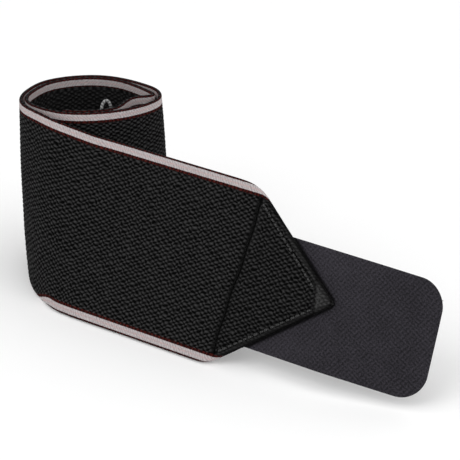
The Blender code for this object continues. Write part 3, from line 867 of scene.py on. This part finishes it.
HOOK_PROFILE = ((0.0, 0.42), (0.05, 0.95), (0.22, 1.42), (0.5, 1.55), (0.68, 1.3))    # ahead and out
HOOK_THICKNESS = (0.2, 0.16, 0.14, 0.12, 0.07)
HOOK_CROOK_FROM = 1.3    # above this height the crook leans over


def hook_spots(first, last):
    """For each hook its place along and across the tape, and which way it leans."""
    spots = []
    for i, u in enumerate(np.arange(first, last, HOOK_ALONG)):
        half = float(tape_reach(u)) - HOOK_ACROSS
        for j, w in enumerate(np.arange(-half + HOOK_ACROSS / 2 * (i % 2), half, HOOK_ACROSS)):
            along, across = HOOK_JITTER * (scatter(i, j) - 0.5), HOOK_JITTER * (scatter(j, i) - 0.5)
            spots.append((u + along, w + across, 1 if j % 2 else -1))
    return np.array(spots)


def hook_faces(levels):
    """The faces of one hook: square rings from its stem to its point, closed at both ends."""
    faces = []
    for level in range(levels - 1):
        low, high = level * 4, level * 4 + 4
        for k, after in ((0, 1), (1, 2), (2, 3), (3, 0)):
            faces.append((low + k, low + after, high + after, high + k))
    return faces + [(3, 2, 1, 0), tuple(levels * 4 - 4 + k for k in range(4))]


def hook_field(name, first, last, material):
    """Small moulded hooks on the tape's back: each is a stem that leans over into a crook."""
    spots = hook_spots(first, last)
    base, out = tape_surface(spots[:, 0], spots[:, 1]), -tape_normal(spots[:, 0], spots[:, 1])
    ahead = unit(tape_surface(spots[:, 0] + 0.5, spots[:, 1]) - base) * spots[:, 2:3]
    side = np.cross(out, ahead)
    rings = []
    for (x, z), r in zip(HOOK_PROFILE, HOOK_THICKNESS):
        middle = base + ahead * x + out * z
        lean = unit(ahead * 0.5 + out * 0.25 if z > HOOK_CROOK_FROM else ahead) * r
        rings.append([middle + side * r + lean, middle + side * r - lean,
                      middle - side * r - lean, middle - side * r + lean])
    points = np.array(rings).transpose(2, 0, 1, 3)
    count, levels = points.shape[:2]
    one = hook_faces(levels)
    faces = (np.array(one)[None] + np.arange(count)[:, None, None] * levels * 4).reshape(-1, 4)
    uv = np.repeat(spots[:, :2], len(one) * 4, axis=0)
    piece = add_mesh(name, points.reshape(-1, 3), faces.tolist(), material, uv)
    return piece


def hook_fields(material):
    """Hooks on the sewn part, on the free tab, and over the bend between them."""
    sewn = hook_field("sewn_hooks", *SEWN_HOOKS, material)
    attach(sewn, "tail")
    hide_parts("sewn_tape_hooks")
    bend_with_tab(hook_field("bend_hooks", *BEND_HOOKS, material))
    free = hook_field("tab_hooks_field", *TAB_HOOKS, material)
    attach(free, "tab")
    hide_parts("tab_hooks")


# ---------------------------------------------------------------- thread, cord and seams

def tube(path, radius, sides, first_index=0):
    """Points, faces and UVs of a capped tube along the path; radius is a number or one for each point."""
    path = np.asarray(path, float)
    ahead = unit(np.gradient(path, axis=0))
    side = np.zeros_like(path)
    hint = np.array((0.31, 0.87, 0.38))
    for i, direction in enumerate(ahead):
        hint = hint - direction * (hint @ direction)
        hint = hint / np.linalg.norm(hint)
        side[i] = hint
    other = np.cross(ahead, side)
    turn = (np.arange(sides) / sides * 2 * np.pi)[:, None]
    radius = np.broadcast_to(radius, len(path))[:, None, None]
    points = path[:, None] + radius * (side[:, None] * np.cos(turn) + other[:, None] * np.sin(turn))
    run = distances(path)
    faces, uvs = [], []
    for i in range(len(path) - 1):
        low, high = first_index + i * sides, first_index + (i + 1) * sides
        for k in range(sides):
            after, near, far = (k + 1) % sides, k / sides, (k + 1) / sides
            faces.append([low + k, low + after, high + after, high + k])
            uvs += [(run[i], near), (run[i], far), (run[i + 1], far), (run[i + 1], near)]
    last = first_index + (len(path) - 1) * sides
    faces.append([first_index + k for k in range(sides)][::-1])
    faces.append([last + k for k in range(sides)])
    uvs += [(0.0, 0.0)] * sides + [(run[-1], 0.0)] * sides
    return points.reshape(-1, 3), faces, uvs


def join_tubes(name, paths, radii, material, sides=6):
    points, faces, uvs = [], [], []
    for path, radius in zip(paths, radii):
        new_points, new_faces, new_uvs = tube(path, radius, sides, first_index=sum(map(len, points)))
        points.append(new_points)
        faces += new_faces
        uvs += new_uvs
    return add_mesh(name, np.vstack(points), faces, material, uvs)


def stitch_row(name, place, line, stitch, sink, body, node, material):
    """A row of separate stitches along a line on the cloth: each comes up, lies over and goes back down.
    place(x, y, height) gives a point above the cloth, line is two or more (x, y) spots, and sink is how far
    the row is pulled in at its start and its end."""
    pitch, length, thread = stitch
    line = np.asarray(line, float)
    run = distances(line)
    t = np.linspace(0.0, 1.0, 8)
    arch = np.sin(np.pi * t) ** 0.7
    paths, radii = [], []
    for i in range(int(run[-1] / pitch)):
        start = (i + 0.12) * pitch + 0.3 * pitch * (scatter(i, len(name)) - 0.5)
        at = start + t * length
        x, y = np.interp(at, run, line[:, 0]), np.interp(at, run, line[:, 1])
        depth = np.interp(start, (0.0, run[-1]), sink)
        paths.append(place(x, y, arch * thread * 1.25 - depth))
        radii.append(thread / 2 * (0.55 + 0.45 * arch) * (0.75 + 0.35 * scatter(len(name), i)))
    piece = join_tubes(name, paths, radii, material)
    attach(piece, body)
    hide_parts(node)


def on_face(a, v, height):
    return surface(a, v) + normal(a, v) * (np.asarray(height) + HALF_THICK)[..., None]


def on_inside(a, v, height):
    return surface(a, v) - normal(a, v) * (np.asarray(height) + HALF_THICK)[..., None]


def on_hem(a, v, height):
    return surface(a, v) - normal(a, v) * (np.asarray(height) + 3.0 * HALF_THICK + HEM_GAP)[..., None]


def on_tape_back(u, w, height):
    return tape_surface(u, w) - tape_normal(u, w) * (np.asarray(height) + TAPE_HALF)[..., None]


def diagonal_line(edge, fold, inset):
    """The ends of the stitching along a diagonal that starts at v = edge and rises at the angle fold."""
    away = edge + math.copysign(inset / math.cos(fold), fold)
    foot, end = away + SEAM_FOOT * math.tan(fold), away + SEAM_END * math.tan(fold)
    return (SEAM_FOOT, foot), (SEAM_END - TIP_ROW_LEAN * (end - ARROW_TIP), end)


def seams(material, base_thread):
    v = np.linspace(5.0, WIDTH - 5.0, 60)
    base = np.column_stack((crease_at(v), v))
    stitch_row("base_stitches", on_face, base, FINE_STITCH, (0.72, 0.72), "tail", "base_seam", base_thread)
    lower = diagonal_line(0.0, LOWER_FOLD, LOWER_INSET)
    stitch_row("lower_diagonal_stitches", on_face, lower, LOWER_STITCH, (0.55, 0.3), "tail",
               "lower_diagonal_seam", material)
    upper = diagonal_line(WIDTH, -UPPER_FOLD, UPPER_INSET)
    stitch_row("upper_diagonal_stitches", on_face, upper, UPPER_STITCH, (0.95, 0.35), "tail",
               "upper_diagonal_seam", material)
    half = TAPE_WIDTH / 2 - 2.5
    tape_end = (1.6, -half), (1.6, half)
    stitch_row("tape_end_stitches", on_tape_back, tape_end, TAPE_STITCH, (0.12, 0.12), "tail",
               "tape_end_seam", material)
    hem = (INNER_END + 6.3, 6.0), (INNER_END + 6.3, WIDTH - 6.0)
    stitch_row("hem_stitches", on_hem, hem, FINE_STITCH, (0.1, 0.1), "coil", "hem_seam", material)


def inner_hem(material):
    """The web's inner end, folded back over its own inner face, a little short of the upper edge."""
    rows = np.arange(INNER_END, INNER_END + HEM_LENGTH, 0.5)
    v, cloth, rise, _, _ = web_columns(rows, int(WIDTH / 0.8))
    a = np.broadcast_to(rows[:, None], v.shape)
    v = v * (WIDTH - HEM_SHORT) / WIDTH
    centre, out = surface(a, v), normal(a, v)
    ends = np.minimum(rows - rows[0], rows[-1] - rows)[:, None]
    half = HALF_THICK * rise * blunt_end(ends, HALF_THICK, 0.1)
    relief = woven_share(np.minimum(cloth, WIDTH - cloth)) * weave(a, cloth) * rise ** 2
    level = -(2.0 * HALF_THICK + HEM_GAP)
    front = centre + out * (level + half)[..., None]
    back = centre + out * (level - half - relief)[..., None]
    uv = np.stack((a, cloth), -1)
    none = np.zeros_like(a)
    values = {"plain": (none, none), "inner": (none, none + 1.0)}
    piece = closed_sheet("inner_hem_fold", front, back, uv, uv, material, values)
    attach(piece, "coil")
    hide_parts("inner_hem")


def bartack(material):
    """A dense block of zigzag stitching that holds both ends of the thumb loop."""
    t = np.linspace(0.0, 1.0, 14)
    start = INNER_END + BARTACK_AT
    heights = np.arange(BARTACK_LOW, BARTACK_HIGH, 0.5)
    paths = []
    for i, height in enumerate(heights):
        lean = 0.25 * (-1) ** i
        x, y = start + 5.0 * t, height + lean * (2 * t - 1)
        paths.append(on_inside(x, y, 0.35 + 2.2 * np.sin(np.pi * t) ** 0.5 + 0.25 * scatter(i, 3)))
    piece = join_tubes("loop_bartack_stitches", paths, [0.34] * len(paths), material)
    core_v = np.linspace(BARTACK_LOW + 0.4, BARTACK_HIGH - 0.6, 12)
    core = [on_inside(np.full(12, start + x), core_v, np.full(12, 1.2)) for x in (1.2, 2.5, 3.8)]
    fill = join_tubes("loop_bartack_filling", core, [1.05] * 3, material, sides=10)
    for obj in (piece, fill):
        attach(obj, "coil")
    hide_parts("loop_bartack")


def thumb_loop(material):
    """The covered elastic cord, with the braid of its cover as relief."""
    sides, relief = 20, 0.08
    t = np.linspace(0.0, 1.0, 150)[:, None]
    spread = LOOP_WIDTH * np.sin(2 * np.pi * t) * np.sin(np.pi * t) + LOOP_SPACING / 2 * np.cos(np.pi * t)
    path = LOOP_ROOT + (LOOP_CROWN - LOOP_ROOT) * np.sin(np.pi * t) + unit(LOOP_SIDEWAYS) * spread
    points, faces, uvs = tube(path, LOOP_RADIUS - relief, sides)
    run = distances(path)
    along, around = run[:, None] / LOOP_BRAID, 2 * np.arange(sides) / sides
    braid = np.maximum(np.cos(2 * np.pi * (along + around)), np.cos(2 * np.pi * (along - around)))
    points = points + unit(points - np.repeat(path, sides, axis=0)) * (relief * braid.reshape(-1, 1))
    # painted shade: the loop's legs, down in the coil, are darker than its crown
    leg_painted_shade = np.repeat(smooth(2.5, 8.0, np.abs(run - run[-1] / 2.0 - 1.0)), sides)
    piece = add_mesh("thumb_loop_braided_cord", points, faces, material, uvs, {"leg_painted_shade": leg_painted_shade})
    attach(piece, "thumb_loop")
    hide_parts("thumb_loop_cord")


# ---------------------------------------------------------------- the scene

def add_floor():
    mesh = bpy.data.meshes.new("floor")
    half = 3.0
    corners = [(-half, -half, 0.0), (half, -half, 0.0), (half, half, 0.0), (-half, half, 0.0)]
    mesh.from_pydata(corners, [], [(0, 1, 2, 3)])
    mesh.materials.append(floor_material())
    floor = bpy.data.objects.new("floor", mesh)
    bpy.context.scene.collection.objects.link(floor)


def main():
    bpy.context.scene.view_settings.view_transform = "Standard"
    add_camera()
    add_world(strength=0.9)
    add_light("key", (-0.9, -1.2, 1.5), size=1.2, power=9.0)
    add_light("fill", (1.2, -0.6, 1.0), size=1.2, power=4.0)
    add_floor()
    cloth = web_material()
    web(cloth)
    inner_hem(cloth)
    tape(tape_material())
    hook_fields(hook_material())
    thread = yarn_material("black_thread", grey(0.010), grey(0.070), pitch=0.8, roughness=0.6)
    base_thread = yarn_material("base_thread", grey(0.001), grey(0.005), pitch=0.8, roughness=0.9)
    seams(thread, base_thread)
    bartack(thread)
    thumb_loop(yarn_material("loop_cover", grey(0.04), grey(0.42), pitch=LOOP_BRAID, roughness=0.45))


main()
